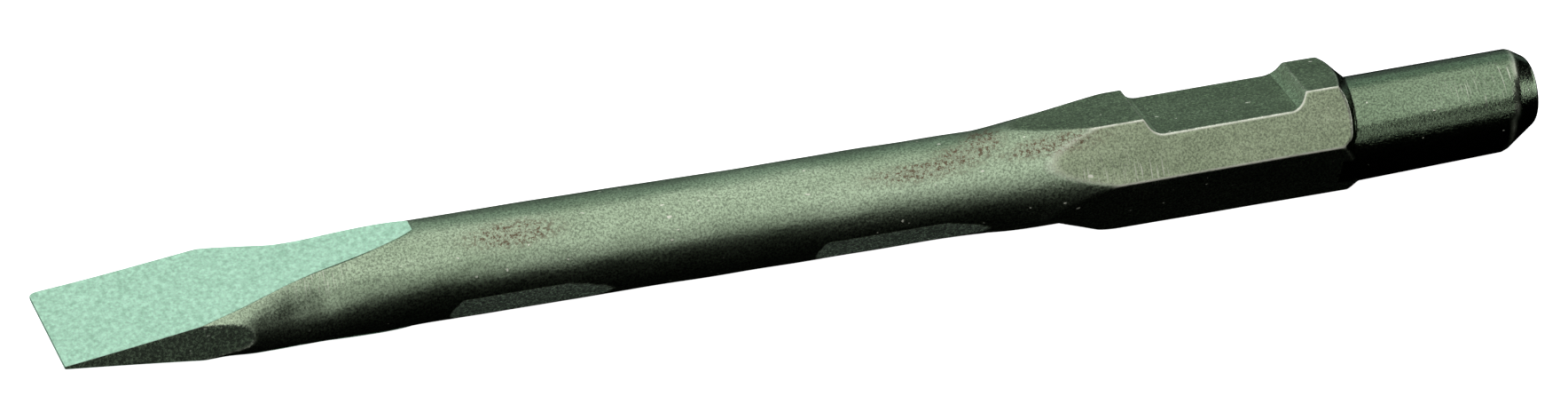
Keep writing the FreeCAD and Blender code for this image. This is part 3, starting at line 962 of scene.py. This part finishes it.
# ---------------------------------------------------------------- stage, lights and camera
def build_floor():
    """A pale floor under the object that glows evenly and is not seen in the object's reflections."""
    mesh = bpy.data.meshes.new("floor")
    low, half = CAD_BOX[0].z, FLOOR_HALF
    corners = [(-half, -half, low), (half, -half, low), (half, half, low), (-half, half, low)]
    mesh.from_pydata(corners, [], [(0, 1, 2, 3)])
    floor = bpy.data.objects.new("floor", mesh)
    bpy.context.scene.collection.objects.link(floor)
    put_material(floor, floor_material())
    floor.visible_diffuse = False
    floor.visible_glossy = False


def area_light(name, width, height, radiance, colour=WHITE):
    """A rectangular light that the camera does not see."""
    data = bpy.data.lights.new(name, "AREA")
    data.shape = "RECTANGLE"
    data.size, data.size_y = width, height
    data.color = colour
    data.energy = radiance * math.pi * width * height
    light = bpy.data.objects.new(name, data)
    bpy.context.scene.collection.objects.link(light)
    light.visible_camera = False
    return light


def build_lights():
    """Long softboxes over the X axis, which face it, and others beyond the ends, which face its middle."""
    middle = Vector((-LENGTH / 2 * MM, 0, 0))
    for name, (angle, width, length, radiance, along, colour) in SOFTBOXES.items():
        light = area_light(name, length, width, radiance, colour)
        turn = math.radians(angle)
        out = Vector((along, SOFTBOX_DISTANCE * math.cos(turn), SOFTBOX_DISTANCE * math.sin(turn)))
        light.location = middle + out
        light.rotation_euler = (turn - math.pi / 2, 0, 0)
    for name, (place, width, height, radiance) in END_SOFTBOXES.items():
        light = area_light(name, width, height, radiance)
        light.location = place
        light.rotation_euler = (Vector(place) - middle).to_track_quat("Z", "Y").to_euler()


def build_camera():
    data = bpy.data.cameras.new("camera")
    data.sensor_width, data.lens = CAMERA_SENSOR, CAMERA_LENS
    data.clip_start, data.clip_end = CAMERA_CLIP
    camera = bpy.data.objects.new("camera", data)
    bpy.context.scene.collection.objects.link(camera)
    camera.location = CAMERA_PLACE
    azimuth, elevation, roll = map(math.radians, (CAMERA_AZIMUTH, CAMERA_ELEVATION, CAMERA_ROLL))
    turn = (Matrix.Rotation(azimuth, 3, "Z") @ Matrix.Rotation(math.pi / 2 - elevation, 3, "X")
            @ Matrix.Rotation(roll, 3, "Z"))
    camera.rotation_mode = "QUATERNION"
    camera.rotation_quaternion = turn.to_quaternion()
    bpy.context.scene.camera = camera


def build_world():
    """A white background that lights nothing."""
    world = bpy.data.worlds.new("studio")
    bpy.context.scene.world = world
    world.use_nodes = True
    world.node_tree.nodes["Background"].inputs["Color"].default_value = (1, 1, 1, 1)
    world.cycles_visibility.diffuse = False
    world.cycles_visibility.glossy = False


build_floor()
build_lights()
build_camera()
build_world()
bpy.context.scene.view_settings.view_transform = "Standard"
